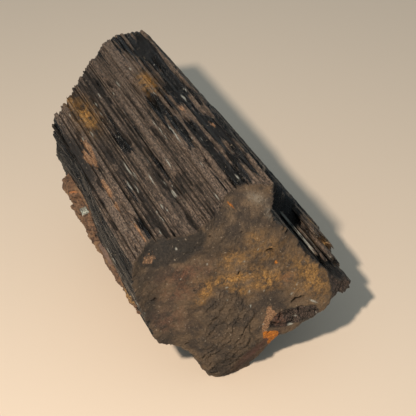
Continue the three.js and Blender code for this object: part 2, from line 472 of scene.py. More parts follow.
# %% Far end
BACK_REACH, BACK_REACH_Y, BACK_HALF = -59.5, 6.0, 22.0
DRAWN_IN_LEFT, DRAWN_IN_RIGHT = 18.5, 5.0
STEP_WIDTH = 1.9
BACK_LIMIT = -60.4
COLUMNS = 260


def end_line(y):
    """How far the end reaches at a place across the crystal."""
    left = np.maximum(0.0, BACK_REACH_Y - y) / BACK_HALF
    right = np.maximum(0.0, y - BACK_REACH_Y) / BACK_HALF
    return BACK_REACH + DRAWN_IN_LEFT * left ** 1.5 + DRAWN_IN_RIGHT * smoothstep(0.0, 0.5, right)


columns = np.stack([rng.uniform(-18, 30, COLUMNS), rng.uniform(-1, 48, COLUMNS)], 1)
column_step = rng.normal(0.0, 0.3, COLUMNS)


def far_x(y, z):
    column_middle = (np.floor(y / STEP_WIDTH) + 0.5) * STEP_WIDTH
    x = 0.45 * end_line(y) + 0.55 * end_line(column_middle)
    level = z + 2.2 * value_noise(y * 0.18, 0.0, 0.0, 22) + 0.8 * value_noise(y * 0.7, 0.0, 0.0, 23)
    x = x + 2.2 * smoothstep(33.0, 29.5, level) - 2.2 * smoothstep(18.0, 14.0, level)
    flat = np.stack([np.ravel(y), np.ravel(z)], 1)
    nearest = np.empty(len(flat), dtype=int)
    for start in range(0, len(flat), 4000):
        part = flat[start:start + 4000]
        distance = (part[:, None, 0] - columns[None, :, 0]) ** 2
        distance = distance + (part[:, None, 1] - columns[None, :, 1]) ** 2
        nearest[start:start + 4000] = distance.argmin(1)
    inner = smoothstep(46.0, 43.0, z)
    x = x + column_step[nearest].reshape(np.shape(y)) * (0.35 + 0.9 * inner)
    return np.clip(x + 0.16 * fractal(y * 0.8, z * 0.8, 7.0, 3, 21), BACK_LIMIT, None)


print("far end steps mm", column_step.min().round(2), "to", column_step.max().round(2))


# %% [markdown]
# ## Broken-away places on the sides
# Beside the fracture the right flank has lost its outer layer, which leaves a dark recess
# behind the blades, and under the front right corner a piece is missing, so that the corner
# overhangs. The left flank is worn back a little behind its middle. All push the surface
# inwards by an amount that depends on x. Boolean cuts would break up the grid of ribs, which
# here stays whole.

# %% Side losses
RECESS_DEEP = 4.0
RECESS_FROM = -14.5
UNDERCUT = [(5.5, -3), (12, 12), (21, 20), (34, 13), (34, -3)]


def side_loss(z, x, right, left):
    depth = RECESS_DEEP * smoothstep(16.5, 25.5, z) * smoothstep(46.5, 41.5, z) * right
    start = RECESS_FROM + 1.2 * value_noise(z * 0.6, 0.0, 0.0, 31)
    start = start + 5.0 * smoothstep(30, 24, z) + 4.0 * smoothstep(23, 20, z)
    lost = -depth * smoothstep(start, start + 4.0, x)
    lost = lost - 0.6 * smoothstep(38, 44, z) * smoothstep(-24.0, -22.5, x) * right
    worn = 1.3 * spot(x, 0.0 * x, -31, 0, 11, 1)
    return lost - worn * left * smoothstep(20, 30, z)


def slide_out_of_undercut(y, z, x):
    """Moves points of the lower right corner back to the undercut's edge."""
    amount = smoothstep(-7.5, -5.0, x) * smoothstep(0.0, 0.5, z + 0.5)
    ragged = 0.7 * value_noise(y * 0.35, z * 0.35, 0.0, 33)
    ragged = ragged + 0.3 * value_noise(y * 0.9, z * 0.9, 0.0, 34)
    inside = inside_polygon(y, z, UNDERCUT) + ragged
    edge_y, edge_z = y.copy(), z.copy()
    for _ in range(28):
        deep = inside > 0.02
        if not deep.any():
            break
        step_mm = np.where(deep, np.minimum(inside, 0.8), 0.0)
        edge_y = edge_y - 0.62 * step_mm
        edge_z = edge_z + 0.78 * step_mm
        inside = inside_polygon(edge_y, edge_z, UNDERCUT) + ragged
    return y + (edge_y - y) * amount, z + (edge_z - z) * amount


print("recess mm", RECESS_DEEP, "deep from x", RECESS_FROM)

# %% [markdown]
# ## Building the crystal's surface
# The side surface is a grid: the outline's points times stations along X, each pushed in by
# the ribs, chips and losses. An extruded outline would have straight, unbroken ribs. Both
# ends are closed by triangulated sheets that share the grid's first and last rows, so the
# crystal is one closed skin.

# %% Crystal surface
STATIONS = 126
END_ROUNDING = 0.18
NEAR_SPACING, FAR_SPACING = 0.27, 0.75
right_side = smoothstep(4.0, 4.6, side_at) * smoothstep(6.02, 5.96, side_at)
left_side = smoothstep(7.7, 8.0, side_at) * smoothstep(10.6, 10.0, side_at)
CHIP_RANGES = [(0, girth), (-58, 2), (0.2, 0.6), (0.6, 3.4), (0.12, 0.42)]
chips = scatter(rng, 520, CHIP_RANGES)  # place round the outline, x, half width, half length, depth
TOP_SLOTS = [  # x, y, half length, half width, depth
    (-46, -1, 2.3, 0.3, 0.7), (-37, -6, 2, 0.4, 0.8), (-29, -4.5, 2.5, 0.5, 0.6),
    (-34, 3.5, 3.5, 0.5, 0.6), (-24, 4.5, 3, 0.4, 0.5), (-7, -10, 3.5, 0.35, 0.5),
]
TOP_SLOTS += scatter(rng, 14, [(-52, -4), (-13, 9), (1.5, 3.5), (0.2, 0.4), (0.35, 0.55)])


def chip_height(s, x):
    total = np.zeros(np.broadcast(s, x).shape)
    for cs, cx, wide, long, deep in chips:
        near = (np.abs(s - cs) < wide * 2.2) & (np.abs(x - cx) < long * 1.6)
        if near.any():
            shape = smoothstep(1.0, 0.75, np.hypot((s - cs) / wide, (x - cx) / long))
            total = total - np.where(near, deep * shape, 0.0)
    return total


def slot_height(x, y, on_top):
    total = np.zeros(np.shape(x))
    for cx, cy, long, wide, deep in TOP_SLOTS:
        ragged = 0.25 * value_noise(x * 1.3, y * 0.0, cx, 42)
        far = np.hypot((x - cx) / long, (y - cy + ragged * wide) / wide)
        total = total - deep * smoothstep(1.0, 0.55, far)
    return total * on_top


top_side = smoothstep(5.9, 6.1, side_at) * smoothstep(8.1, 7.95, side_at)


def ring(x):
    """Outline points (y, z) at each point's own x, ribs and losses included."""
    height = rib_height(along_outline, x, groove_depth)
    height = height + chip_height(along_outline, x)
    y, z = outline[:, 0], outline[:, 1]
    height = height + slot_height(x, y, top_side)
    height = height + 0.07 * fractal(along_outline * 1.9, x * 0.9, 0.0, 2, 41)
    height = height + side_loss(z, x, right_side, left_side)
    y = y + outward[:, 0] * height
    z = z + outward[:, 1] * height
    y, z = slide_out_of_undercut(y, z, x)
    return y, np.maximum(z, 0.0), height


near_x = fracture_x(outline[:, 0], outline[:, 1])
for _ in range(4):
    ring_y, ring_z, _ = ring(near_x)
    near_x = 0.5 * near_x + 0.5 * fracture_x(ring_y, ring_z)
back_x = far_x(outline[:, 0], outline[:, 1])
rib_reach = rng.normal(0, 1.0, (len(rib_edge), x_cells))
back_x = back_x + 0.1 * layer_height(rib_edge, rib_reach, along_outline, back_x * 0, 2.0)[0]
round_top = smoothstep(44.4, 46.4, outline[:, 1])
back_x = np.maximum(back_x, BACK_LIMIT) + 0.5 * round_top

count = len(outline)
grid_points = np.empty((STATIONS, count, 3))
grid_height = np.empty((STATIONS, count))
for k in range(STATIONS):
    t = k / (STATIONS - 1)
    x = back_x + (near_x - back_x) * t
    y, z, height = ring(x)
    if k == 0:
        y = y - END_ROUNDING * outward[:, 0]
        z = np.maximum(z - END_ROUNDING * outward[:, 1], 0.0)
    grid_points[k] = np.stack([x, y, z], 1)
    grid_height[k] = height


def untangle(loop):
    """Relaxes the few places where a row of points crosses itself."""
    loop = loop.copy()
    for _ in range(60):
        a, b = loop, np.roll(loop, -1, 0)
        d = b - a
        bad = set()
        for gap in range(2, 14):
            c, e = np.roll(a, -gap, 0), np.roll(b, -gap, 0)
            f = e - c
            cross = d[:, 0] * f[:, 1] - d[:, 1] * f[:, 0]
            cross = np.where(np.abs(cross) < 1e-12, 1e-12, cross)
            t = ((c - a)[:, 0] * f[:, 1] - (c - a)[:, 1] * f[:, 0]) / cross
            u = ((c - a)[:, 0] * d[:, 1] - (c - a)[:, 1] * d[:, 0]) / cross
            for i in np.nonzero((t > -0.02) & (t < 1.02) & (u > -0.02) & (u < 1.02))[0]:
                bad.update((i + k) % len(loop) for k in range(-1, gap + 3))
        if not bad:
            break
        soft = blur_loop(loop, 2)
        index = list(bad)
        loop[index] = soft[index]
    print("row untangled, crossings left", len(bad))
    return loop


for row in (0, STATIONS - 1):
    grid_points[row, :, 1:] = untangle(grid_points[row, :, 1:])
grid_points[-1, :, 0] = fracture_x(grid_points[-1, :, 1], grid_points[-1, :, 2])


def cap(loop, surface, spacing, seed):
    """Triangulates the inside of a loop of (y, z) and lifts it to x = surface(y, z)."""
    corners = [tuple(map(float, p)) for p in loop]
    low, high = loop.min(0), loop.max(0)
    ys = np.arange(low[0], high[0], spacing)
    zs = np.arange(low[1], high[1], spacing * 0.87)
    gy, gz = np.meshgrid(ys, zs)
    gy = gy + (np.arange(len(zs)) % 2)[:, None] * spacing * 0.5
    shake = np.random.default_rng(seed)
    gy = gy + shake.uniform(-0.22, 0.22, gy.shape) * spacing
    gz = gz + shake.uniform(-0.22, 0.22, gz.shape) * spacing
    keep = inside_polygon(gy.ravel(), gz.ravel(), corners) > spacing * 0.45
    inner = np.stack([gy.ravel()[keep], gz.ravel()[keep]], 1)
    flat = np.vstack([loop, inner])
    edges = [(i, (i + 1) % len(loop)) for i in range(len(loop))]
    out = delaunay_2d_cdt([tuple(p) for p in flat.tolist()], edges, [], 1, 1e-9)
    places = np.array([tuple(v) for v in out[0]])
    origin = [ids[0] if ids else -1 for ids in out[3]]
    print("cap points", len(flat), "after", len(places), "triangles", len(out[2]))
    return places, np.array(origin), np.array(out[2]), surface(places[:, 0], places[:, 1])


near_cap = cap(grid_points[-1, :, 1:], fracture_x, NEAR_SPACING, 3)
far_cap = cap(grid_points[0, :, 1:], far_x, FAR_SPACING, 4)
print("fracture x from", near_x.min(), "to", near_x.max())

# %% [markdown]
# ## Marks of weathering, with painted shade and painted highlights
# Each mark is a soft mask in the crystal's own millimetres, kept as a number at every point
# of the skin: brown dust, ochre and orange iron oxide, a plum-coloured film and darker places,
# and painted light as well: painted shade in the grooves and pits, and pale marks that are
# pale scales on the fracture and painted glints along the rib crests. The materials read them
# by name. They could be painted by hand, but formulas stay sharp at any size and can be changed
# one by one.

# %% Marks
# groove carries painted shade, and pale carries pale scales and painted glints.
MARKS = ("groove", "fracture", "dust", "ochre", "tan", "red", "rust", "pale", "plum", "dark")
TOP_BLACK = [  # x, y, length, width, turn, strength
    (-48, 9, 12, 3.5, 0, 1.2), (-35, 8.5, 11, 3.5, 0, 1.2), (-21, 8.5, 9, 2.8, 0, 0.95),
    (-8, 8, 6, 3, 0, 0.95), (-33, 3.5, 5, 1.2, 0, 0.9), (-24, 4.5, 5, 1, 0, 0.8),
    (-6, -10, 5, 1.2, 0, 0.8), (-16, -9.5, 4, 0.8, 0, 0.5), (-28, -5, 3, 0.8, 0, 0.5),
]
TOP_OCHRE = [(-40, 5, 3, 1.4, 0, 1.0), (-41, -8, 5, 1.8, 0, 1.0), (-46, -9, 4, 1.2, 10, 0.8)]
TOP_TAN = [
    (-31, -11.5, 5, 1, 0, 1.0), (-19, -12, 4, 0.5, 0, 0.85), (-14, -12, 1.5, 0.8, 0, 0.9),
    (-6, -11.5, 7, 0.2, 0, 0.9), (-28, 7, 2, 0.25, 8, 0.8), (-20.5, 9.5, 1, 0.4, 10, 1.0),
]
# Painted highlights on the top: glint lines along the rib crests, and a few pale streaks.
TOP_GLINTS_AND_STREAKS = [
    (-26, 1.5, 4, 0.1, 0, 1.0), (-23, 3, 3, 0.12, 0, 1.0), (-21, -7, 3, 0.14, 3, 1.0),
    (-17.5, -8.5, 1.5, 0.18, 0, 1.0), (-15.5, -5, 1.5, 0.12, 0, 0.9),
]
FACE_OCHRE = [  # y, z, length, width, turn, strength
    (-3, 28, 3, 1.2, 65, 0.9), (2, 30, 5, 1.3, 0, 1.0), (3, 34, 3, 2, 10, 0.6),
    (9, 28, 5, 1.6, -5, 0.9), (3, 27, 2.5, 1, -30, 0.8), (9, 34, 4, 1.8, 0, 0.5),
    (17, 26, 6, 3, -50, 0.8), (7, 37, 2, 1.5, 0, 0.4),
]
FACE_RED = [
    (-6, 33, 4, 2, 5, 0.7), (-7, 29.5, 3, 2.5, 0, 0.6), (12, 27.5, 1.5, 1, 0, 0.8),
    (-9, 22.5, 3, 3, 0, 0.4), (10.5, 18, 0.7, 2, 10, 0.9),
]
FACE_PALE = [
    (8.5, 43.5, 3, 1.8, -15, 0.32), (10, 41, 1.5, 2.5, 10, 0.3), (17, 21, 1, 0.2, -35, 0.8),
    (13, 15.5, 0.6, 0.2, 0, 1.0),
]
FACE_PLUM = [(7, 7, 5, 1.8, 65, 1.0), (9, 12, 2.5, 1.5, 50, 0.9)]
FACE_DARK = [
    (-14, 34, 1, 4, 0, 0.75), (-12, 26, 1.5, 5, 0, 0.8), (-9.5, 18, 2.5, 2, 0, 0.6),
    (0, 37.5, 3, 2, 0, 0.5),
]
RUST_SPOTS = [(11, 31, 0.5, 0.5, 0, 0.8), (4, 43, 1.2, 0.3, -60, 0.7)]
LIMONITE = (9.8, 12.3, 4.2, 1.2, -65)  # y, z, length, width, turn, as for the lobe
RUSTY_COLUMN = (8.2, 19, 3.5, 1.1, 85)
CORNER_GRAINS = (-12, 38, 1.3, 0.9, 20)
DARK_PATCH = (-8, 39.5, 6.5, 3.8, 10)
FLECK, RIB_GLINT = 0.15, 0.1   # half widths on the face and on the ribs
flecks = np.random.default_rng(9)
FACE_PALE += scatter(flecks, 26, [(-11, 21), (6, 42), (0.15, 0.35), FLECK, (0, 90), (0.6, 1.0)])
# Short glint dashes scattered along the top ribs, painted highlights.
TOP_GLINTS_AND_STREAKS += scatter(flecks, 40, [(-50, -3), (-14, 10), (0.2, 1.6), RIB_GLINT, 0, 0.8])
print("marks", len(TOP_BLACK + TOP_OCHRE + TOP_TAN + TOP_GLINTS_AND_STREAKS), "on top",
      len(FACE_OCHRE + FACE_RED + FACE_PALE + FACE_PLUM + FACE_DARK), "on the face")


def gather(spots, u, v):
    total = np.zeros(np.shape(u))
    for centre_u, centre_v, length, width, turn, strength in spots:
        total = np.maximum(total, strength * spot(u, v, centre_u, centre_v, length, width, turn))
    return total


def side_marks(points, height, side):
    x, y, z = points[:, 0], points[:, 1], points[:, 2]
    top = smoothstep(5.9, 6.1, side) * smoothstep(8.2, 7.95, side)
    left = smoothstep(7.9, 8.1, side)
    right = smoothstep(1.0, 1.2, side) * smoothstep(6.1, 5.9, side)
    wander = 0.5 * value_noise(x * 0.5, y * 1.5, z, 51)
    # The groove mark is painted shade: the schorl darkens the low places between ribs nearly to black.
    groove = smoothstep(-0.22, -0.8, height)
    cloud = 0.85 + 0.35 * fractal(x * 0.12, y * 0.5, z * 0.2, 3, 52)
    streaks = 0.75 * fractal(x * 0.07, y * 1.7, z * 0.2, 3, 57)
    black = gather(TOP_BLACK, x + wander, y + 0.5 * wander)
    black = smoothstep(0.38, 0.8, black + streaks)
    clean = 0.45 + 0.4 * fractal(x * 0.1, y * 0.6, z * 0.6, 3, 54)
    left_dust = 0.3 * spot(x, y, -32, -8, 14, 5)
    dusty = (cloud + left_dust) * (1.0 - black) * top
    dusty = np.clip(dusty + clean * (0.35 * left + 0.7 * right), 0, 1)
    ochre = gather(TOP_OCHRE, x + wander, y + 0.25 * wander) * top
    patches = smoothstep(0.5, 0.9, fractal(x * 0.16, y * 0.3, z * 0.3, 3, 53))
    patches = patches * (0.8 * right + 0.2 * left)
    tan = gather(TOP_TAN, x + 0.6 * wander, y + 0.3 * wander) * top
    tan = tan * np.clip(0.7 + 0.9 * fractal(x * 0.3, y * 2.2, 0.0, 3, 58), 0, 1)
    # Pale marks on the top are the painted glints and streaks listed above.
    pale = gather(TOP_GLINTS_AND_STREAKS, x, y + 0.16 * value_noise(x * 0.8, 0.0, 0.0, 55)) * top
    # Painted highlight: pale crest lines on the lit left flank, where the lamp glints.
    painted_flank_shine = left * smoothstep(-30, -24, x) * smoothstep(1, -4, x) * spot(z, z * 0, 27.5, 0, 5, 1)
    crest = smoothstep(0.35, 0.75, value_noise(side * 40.0, x * 0.06, 0.0, 56))
    pale = np.maximum(pale, 1.1 * painted_flank_shine * crest)
    marks = {key: np.zeros(len(points)) for key in MARKS}
    marks.update(groove=groove, dust=dusty, ochre=np.maximum(ochre, 0.6 * patches), tan=tan, pale=pale)
    return marks


def face_marks(points):
    y, z = points[:, 1], points[:, 2]
    wander_y = y + 0.6 * value_noise(y * 0.5, z * 0.5, 0.0, 61)
    wander_y = wander_y + 0.25 * value_noise(y * 1.7, z * 1.7, 0.0, 62)
    wander_z = z + 0.6 * value_noise(y * 0.5, z * 0.5, 5.0, 63)
    wander_z = wander_z + 0.25 * value_noise(y * 1.7, z * 1.7, 5.0, 64)
    same_y, same_z = wandering(y, z)
    lobe = smoothstep(-0.2, 0.4, within(same_y, same_z, LOBE))
    pocket = smoothstep(-0.1, 0.3, within(same_y, same_z, POCKET))
    broken = smoothstep(CHUNK_FROM - 0.2, CHUNK_FROM + 0.6, wander_y) * smoothstep(28.0, 25.0, z)
    dark_top = smoothstep(-0.3, 0.5, within(wander_y, wander_z, DARK_PATCH))
    # Pits and notches get the groove mark, which the schorl paints as shade in them.
    cavity = np.zeros(len(points))
    for cy, cz, length, width, turn, _ in PITS:
        pit = spot(same_y, same_z, cy, cz, length, width, turn)
        cavity = np.maximum(cavity, smoothstep(0.2, 0.6, pit))
    dark = np.maximum(gather(FACE_DARK, wander_y, wander_z), 0.3 * lobe)
    dark = np.maximum(np.maximum(dark, 0.9 * dark_top), np.maximum(1.6 * pocket, 1.5 * broken))
    ones = np.ones(len(points))
    clear = (1.0 - 0.85 * lobe) * (1.0 - 0.8 * pocket) * (1.0 - broken)
    limonite = smoothstep(-0.15, 0.3, within(wander_y, wander_z, LIMONITE))
    rusty = smoothstep(-0.3, 0.3, within(wander_y, wander_z, RUSTY_COLUMN))
    grains = smoothstep(-0.4, 0.4, within(wander_y, wander_z, CORNER_GRAINS))
    return {
        "groove": cavity,
        "fracture": ones,
        "dust": 0.6 * ones,
        "ochre": gather(FACE_OCHRE, wander_y, wander_z) * clear,
        "tan": np.maximum(0.75 * rusty, 0.45 * grains),
        "red": gather(FACE_RED, wander_y, wander_z) * (1.0 - 0.9 * lobe),
        "rust": np.maximum(limonite, 0.75 * gather(RUST_SPOTS, wander_y, wander_z)),
        "pale": gather(FACE_PALE, y, z),
        "plum": gather(FACE_PLUM, wander_y, wander_z),
        "dark": dark,
    }


# %% [markdown]
# ## Joining sides and ends
# The two caps use the grid's end rows as they are, so no seam is left. What is not a
# two-sided edge would be a hole, and the count printed here should be zero.

# %% Join the skin
def build_crystal():
    side_points = grid_points.reshape(-1, 3)
    station_side = np.tile(side_at, STATIONS)
    marks = side_marks(side_points, grid_height.ravel(), station_side)
    points = [side_points]
    faces = []
    for k in range(STATIONS - 1):
        a = k * count + np.arange(count)
        b = k * count + (np.arange(count) + 1) % count
        faces += np.stack([a, b, b + count, a + count], 1).tolist()
    total = len(side_points)
    for end, row, is_face in ((near_cap, STATIONS - 1, True), (far_cap, 0, False)):
        flat, origin, triangles, lifted = end
        new = (origin < 0) | (origin >= count)
        index = np.where(new, 0, row * count + origin)
        index[new] = total + np.arange(new.sum())
        extra = np.stack([lifted[new], flat[new, 0], flat[new, 1]], 1)
        points.append(extra)
        if is_face:
            extra_marks = face_marks(extra)
            edge = slice((STATIONS - 1) * count, STATIONS * count)
            rim = face_marks(side_points[edge])
            for key in marks:
                marks[key][edge] = 0.5 * (marks[key][edge] + rim[key])
        else:
            rough = fractal(extra[:, 1] * 0.5, extra[:, 2] * 0.5, 2.0, 3, 71)
            extra_marks = {key: np.zeros(len(extra)) for key in marks}
            extra_marks["dust"] = np.clip(0.45 + 0.5 * rough, 0, 1)
            # On the far end the groove mark, painted shade, follows noise and darkens the end at
            # random.
            extra_marks["groove"] = np.clip(0.3 + 0.6 * rough, 0, 1)
            extra_marks["ochre"] = smoothstep(0.5, 1.0, rough)
        for key in marks:
            marks[key] = np.concatenate([marks[key], extra_marks[key]])
        total += len(extra)
        turned = index[triangles] if is_face else index[triangles][:, ::-1]
        faces += turned.tolist()
    return mesh_object("tourmaline_crystal", np.vstack(points), faces, marks)


def count_open_edges(obj):
    uses = {}
    for polygon in obj.data.polygons:
        for key in polygon.edge_keys:
            uses[key] = uses.get(key, 0) + 1
    open_edges = sum(1 for n in uses.values() if n != 2)
    print(obj.name, "faces", len(obj.data.polygons), "edges not shared by two faces", open_edges)


crystal = build_crystal()
count_open_edges(crystal)
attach(crystal, "root")
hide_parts("tourmaline_crystal")

# %% [markdown]
# ## Blades on the right flank
# The flank's outer layer is left as one thick blade at its lower edge, a striated band under
# it and two thin ridges beside the fracture. Each is a bar along X with grooves of its own
# and a ragged end, rooted inside the crystal. They stand free at their tips, which a pushed
# grid can't do.

# %% Blades
FLANK_TOP = np.array(CORNERS[RIGHT_FLANK + 1])
FLANK_DOWN = (np.array(CORNERS[RIGHT_FLANK]) - FLANK_TOP) / SIDES[RIGHT_FLANK][1]
FLANK_OUT = np.array([-FLANK_DOWN[1], FLANK_DOWN[0]])
BLADES = [  # name, down the flank, inset, width, thickness, back, tip, ragged, pale, ochre, seed
    ("blade_outer", 26, 1.0, 8.0, 1.5, -26, -2.0, 2.0, 0.25, 0.9, 103),
    ("band_striated", 26, 2.0, 3.5, 1.2, -22, 2.5, 1.2, 0.5, 0.25, 105),
    ("ridge_lower", 24, 3.0, 1.0, 0.6, -24, 2.0, 0.6, 0.9, 0.0, 107),
    ("ridge_upper", 21, 3.5, 1.0, 0.5, -20, 1.5, 0.5, 0.8, 0.0, 109),
]


def blade(name, down, inset, width, thickness, back, tip, ragged, pale, ochre, seed):
    middle_yz = FLANK_TOP + down * FLANK_DOWN - inset * FLANK_OUT
    stations, loop = 80, 72
    angle = 2 * np.pi * np.arange(loop) / loop
    c, s = np.cos(angle), np.sin(angle)
    u = np.sign(c) * np.abs(c) ** 0.45
    v = np.sign(s) * np.abs(s) ** 0.45
    reach = np.sqrt((u * width * 0.5) ** 2 + (v * thickness * 0.5) ** 2)
    uneven = value_noise(u * width * 0.9, v * thickness * 1.5, 0.0, seed + 5)
    end_x = tip - ragged * (0.5 + 0.5 * uneven)
    end_x = end_x - 0.35 * ragged * value_noise(u * width * 3.0, v * 3.0, 2.0, seed + 6)
    points, faces, heights = [], [], []
    for k in range(stations):
        t = (k / (stations - 1)) ** 0.8
        x = back + (end_x - back) * t
        place_u, place_v = u * width * 0.5, v * thickness * 0.5
        relief = 0.09 * value_noise(place_u * 3.0, place_v * 3.0, x * 0.12, seed)
        relief = relief + 0.07 * value_noise(place_u * 7.0, place_v * 7.0, x * 0.2, seed + 1)
        relief = relief + 0.05 * value_noise(place_u * 2.0, place_v * 2.0, x * 1.1, seed + 2)
        taper = 1.0 - 0.15 * smoothstep(0.93, 1.0, t)
        grow = taper * (1.0 + relief / np.maximum(reach, 0.3))
        place = middle_yz + (place_u * grow)[:, None] * FLANK_DOWN
        place = place + (place_v * grow)[:, None] * FLANK_OUT
        points.append(np.stack([x, place[:, 0], place[:, 1]], 1))
        heights.append(relief)
    for k in range(stations - 1):
        for j in range(loop):
            a, b = k * loop + j, k * loop + (j + 1) % loop
            faces.append((a, a + loop, b + loop, b))
    middle = np.array([np.mean(points[0], 0), np.mean(points[-1], 0)])
    points = np.vstack(points + [middle])
    hub = stations * loop
    for j in range(loop):
        after = (j + 1) % loop
        faces.append((j, after, hub))
        faces.append(((stations - 1) * loop + after, (stations - 1) * loop + j, hub + 1))
    height = np.concatenate(heights + [np.zeros(2)])
    x, y, z = points.T
    crest = np.concatenate([np.tile(smoothstep(0.55, 0.95, -c), stations), [0.0, 0.0]])
    line = smoothstep(0.15, 0.5, value_noise(y * 3.5, z * 3.5, x * 0.05, seed + 7))
    cloud = value_noise(x * 0.3, y * 0.5, z * 0.5, seed + 3)
    marks = {key: np.zeros(len(points)) for key in MARKS}
    # Low places of the relief get the groove mark: painted shade.
    marks["groove"] = smoothstep(0.0, -0.12, height)
    marks["dust"] = np.clip(0.6 + 0.4 * cloud, 0, 1)
    marks["ochre"] = ochre * smoothstep(0.1, 0.6, cloud)
    # Painted highlight: pale lines along the upper edge of each bar, where it catches the lamp.
    marks["pale"] = pale * crest * line
    return mesh_object(name, points, faces, marks)


blades = [blade(*row) for row in BLADES]
bpy.context.view_layer.update()
for obj in blades:
    count_open_edges(obj)
    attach(obj, "root")
    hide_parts("tourmaline_crystal")

# %% [markdown]
# ## Crust of mother rock
# The tourmaline grew in a vein with feldspar, mica and later iron oxide. What is left is a
# lumpy granular skin, up to 2 mm thick, on the lower left flank. It is a sheet of its own
# that dives into the crystal wherever it thins out, which gives it a natural ragged edge.
# Scattered single grains would be much heavier and would look the same at this size.

# %% Crust
left_corners = np.array([CORNERS[0]] + CORNERS[:LEFT_FLANK - 1:-1])
CRUST_LOW = 9.0
CRUST_TOP_BACK, CRUST_TOP_FRONT = 31.5, 22.0
CRUST_CELLS = (210, 100)
CRUST_ROOT = 1.6               # how far its hidden back lies inside the flank
CRUST_LUMPS = [  # x, z, radius x, radius z, height
    (-41, 21, 2.5, 5, 1.3), (-36, 20, 3, 4, 0.7), (-31, 18, 3, 4, 0.5), (-24, 17.5, 4.5, 3, 0.25),
    (-33, 27, 3, 3, 0.5),
]
CRUST_MARKS = {  # x, z, length, width, turn, strength
    "smooth": [(-21, 23.5, 5.5, 2.5, -3, 1.0)],
    "gold": [(-11.5, 20.5, 3.5, 2.5, 0, 1.0), (-38, 24, 2.5, 2, 0, 0.5)],
    "white": [(-31, 25.5, 1.2, 1.2, 0, 1.0)],
    "orange": [(-26, 25.5, 1.2, 0.8, 0, 0.8), (-34, 28.5, 2, 0.4, 0, 0.6)],
    "hollow": [(-17, 22, 1, 1, 0, 1.0), (-32, 23, 1, 0.6, 0, 1.0)],
}


def build_crust():
    across, up = CRUST_CELLS
    xs = np.linspace(CRUST_X[0], CRUST_X[1], across)
    rise = np.linspace(0.0, 1.0, up)
    top = CRUST_TOP_BACK + (CRUST_TOP_FRONT - CRUST_TOP_BACK) * np.linspace(0.0, 1.0, across)
    x = np.repeat(xs[None, :], up, 0)
    z = CRUST_LOW + (top[None, :] - CRUST_LOW) * rise[:, None]
    flank = np.interp(z, left_corners[:, 1], left_corners[:, 0])
    sides = np.minimum(np.linspace(0, 1, across), np.linspace(1, 0, across))[None, :] * 17.0
    edge = np.minimum(np.minimum(rise, 1 - rise)[:, None] * 10.0, sides)
    ragged = edge + 2.8 * fractal(x * 0.2, z * 0.28, 3.0, 4, 81) - 2.1
    lumps = 0.45 + 0.0 * x
    for cx, cz, rx, rz, height in CRUST_LUMPS:
        lumps = lumps + height * np.exp(-((x - cx) / rx) ** 2 - ((z - cz) / rz) ** 2)
    wander_x = x + 0.5 * value_noise(x * 0.6, z * 0.6, 1.0, 85)
    wander_z = z + 0.4 * value_noise(x * 0.7, z * 0.7, 2.0, 86)
    marks = {key: gather(spots, wander_x, wander_z) for key, spots in CRUST_MARKS.items()}
    grain = 0.30 * fractal(x * 0.45, z * 0.45, 1.0, 3, 82)
    grain = grain + 0.22 * np.abs(value_noise(x * 1.7, z * 1.7, 2.0, 83))
    grain = grain + 0.12 * value_noise(x * 3.4, z * 3.4, 2.0, 84)
    grain = grain * (1.0 - 0.75 * np.minimum(marks["smooth"] * 1.5, 1))
    thick = lumps + grain - 0.6 * marks["hollow"]
    thick = thick * smoothstep(0.0, 0.9, ragged) - 0.85 * smoothstep(0.4, 0.0, ragged)
    outer = np.stack([x, flank - thick, z], 2).reshape(-1, 3)
    inner = np.stack([x, np.maximum(flank, flank - thick) + CRUST_ROOT, z], 2).reshape(-1, 3)
    total = across * up
    i, j = np.meshgrid(np.arange(up - 1), np.arange(across - 1), indexing="ij")
    a = (i * across + j).ravel()
    front = np.stack([a, a + 1, a + 1 + across, a + across], 1)
    faces = front.tolist() + (front[:, ::-1] + total).tolist()
    rim = list(range(across)) + [i * across + across - 1 for i in range(1, up)]
    rim += [(up - 1) * across + j for j in range(across - 2, -1, -1)]
    rim += [i * across for i in range(up - 2, 0, -1)]
    for k, a in enumerate(rim):
        b = rim[(k + 1) % len(rim)]
        faces.append((b, a, a + total, b + total))
    values = {key: np.concatenate([mask.ravel(), np.zeros(total)]) for key, mask in marks.items()}
    # relief keeps the grain's height; the rock paints its low places darker, as shade.
    values["relief"] = np.concatenate([(grain / 0.6).ravel(), np.zeros(total)])
    return mesh_object("matrix_crust", np.vstack([outer, inner]), faces, values)


crust = build_crust()
count_open_edges(crust)
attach(crust, "root")
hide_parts("matrix_crust")

# %% [markdown]
# ## Finishes
# Every finish is made of nodes only, added by the one function above. Its noise patterns are
# sized by what they stand for on the mineral, in millimetres along the ribs and across them.
# A finish is then laid on in coats: each coat shows one tone where a pattern or a mark lies
# between two values. That is how dust, film and rust lie on the real surface too.

# %% Coats
EASED = {"interpolation_type": "SMOOTHSTEP"}
PRODUCT = {"operation": "MULTIPLY", "use_clamp": True}
GREATER = {"operation": "MAXIMUM", "use_clamp": True}


def find(tree, patterns, marks):
    """The patterns and the skin's marks of one material, by name."""
    place = add(tree, "TexCoord").outputs["Object"]
    found = {}
    for name, (along, across, detail, roughness) in patterns.items():
        per_metre = [1.0 / (size * MM) for size in (along, across, across)]
        scaled = add(tree, "Mapping", {"Vector": place, "Scale": per_metre})
        inputs = {"Vector": scaled, "Scale": 1.0, "Detail": detail, "Roughness": roughness}
        found[name] = add(tree, "TexNoise", inputs)
    for name in marks:
        found[name] = add(tree, "Attribute", attribute_name=name).outputs["Fac"]
    return found


